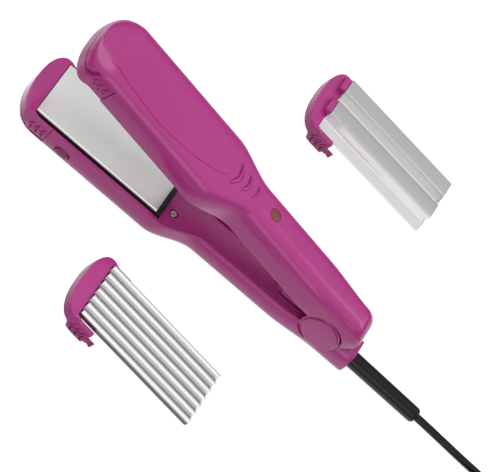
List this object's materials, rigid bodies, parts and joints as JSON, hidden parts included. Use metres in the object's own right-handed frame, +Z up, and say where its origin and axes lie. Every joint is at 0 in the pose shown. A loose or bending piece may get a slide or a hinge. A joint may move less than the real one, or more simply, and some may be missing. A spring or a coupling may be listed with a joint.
{
  "type": "hair crimper",
  "caption": "Clamshell hair crimper lying open on its lower arm, with flat plates on, two loose plate attachments with crimping and waving profiles, and its lead coiled behind it.",
  "frame": {"origin": "on the surface that the iron lies on, directly under the hinge pin, on the flat underside of the lower arm", "axes": "-X towards the tip, +X towards the lead, +Z up, +Y to the right of someone who looks from the lead to the tip; the hinge pin runs along Y"},
  "size_m": [0.4901, 0.3195, 0.106],
  "materials": {
    "shell": "glossy magenta-pink moulding",
    "inner_cover": "magenta-pink moulding, half gloss",
    "carrier": "black heat-resistant moulding",
    "plate": "satin, light grey",
    "heat_block": "as cast",
    "ceramic": "matte, off-white",
    "steel": "zinc plated",
    "lens": "clear, greyish red",
    "lead": "black, slightly satin",
    "brass": "bright"
  },
  "bodies": {
    "lower_arm": {"lower_housing": "shell", "lower_handle_cover": "inner_cover", "lower_plate_carrier": "carrier", "lower_heat_block": "heat_block", "lower_heater": "ceramic", "lower_insulation_pad": "ceramic", "lower_thermal_fuse": "steel", "lower_cover_screw_left": "steel", "lower_cover_screw_right": "steel", "lower_heater_lead": "lead", "supply_lead": "lead", "power_switch": "carrier", "hinge_pin": "steel", "hinge_disc_near": "shell", "hinge_disc_far": "shell", "opening_spring": "steel", "strain_relief": "lead", "lead": "lead", "lead_coil": "lead", "lead_tie": "lead", "plug": "lead", "plug_blade_left": "brass", "plug_blade_right": "brass"},
    "upper_arm": {"upper_housing": "shell", "upper_handle_cover": "inner_cover", "upper_plate_carrier": "carrier", "upper_heat_block": "heat_block", "upper_heater": "ceramic", "upper_insulation_pad": "ceramic", "upper_thermal_fuse": "steel", "upper_cover_screw_left": "steel", "upper_cover_screw_right": "steel", "upper_heater_lead": "lead", "indicator_lens": "lens", "indicator_board": "ceramic"},
    "lower_plate_unit": {"lower_tip_cap": "shell", "lower_flat_plate": "plate"},
    "upper_plate_unit": {"upper_tip_cap": "shell", "upper_flat_plate": "plate"},
    "lower_release": {"lower_release_button": "shell"},
    "upper_release": {"upper_release_button": "shell"},
    "slider": {"power_slider": "shell"},
    "crimp_unit": {"crimp_tip_cap": "shell", "crimp_plate": "plate"},
    "waver_unit": {"waver_tip_cap": "shell", "waver_plate": "plate"}
  },
  "joints": [
    {"name": "arm_hinge", "type": "hinge", "parent": "lower_arm", "child": "upper_arm", "pos_m": [0, 0, 0.025], "axis": [0, 1, 0], "range_deg": [-13, 0], "stiffness_Nm_per_rad": 1.2, "springref_deg": 25.78, "deforming": ["opening_spring"]},
    {"name": "lower_plate_slide", "type": "slide", "parent": "lower_arm", "child": "lower_plate_unit", "axis": [-1, 0, 0], "range_m": [0, 0.12]},
    {"name": "upper_plate_slide", "type": "slide", "parent": "upper_arm", "child": "upper_plate_unit", "axis": [-0.9744, 0, 0.225], "range_m": [0, 0.12]},
    {"name": "lower_release_press", "type": "slide", "parent": "lower_arm", "child": "lower_release", "axis": [0, 1, 0], "range_m": [0, 0.0012], "stiffness_N_per_m": 1500, "springref_m": -0.0005},
    {"name": "upper_release_press", "type": "slide", "parent": "upper_arm", "child": "upper_release", "axis": [0, -1, 0], "range_m": [0, 0.0012], "stiffness_N_per_m": 1500, "springref_m": -0.0005},
    {"name": "power_slide", "type": "slide", "parent": "lower_arm", "child": "slider", "axis": [-1, 0, 0], "range_m": [0, 0.005]},
    {"name": "crimp_unit_lift", "type": "slide", "parent": "lower_arm", "child": "crimp_unit", "axis": [0, 0, 1], "range_m": [0, 0.08]},
    {"name": "waver_unit_lift", "type": "slide", "parent": "lower_arm", "child": "waver_unit", "axis": [0, 0, 1], "range_m": [0, 0.08]}
  ]
}
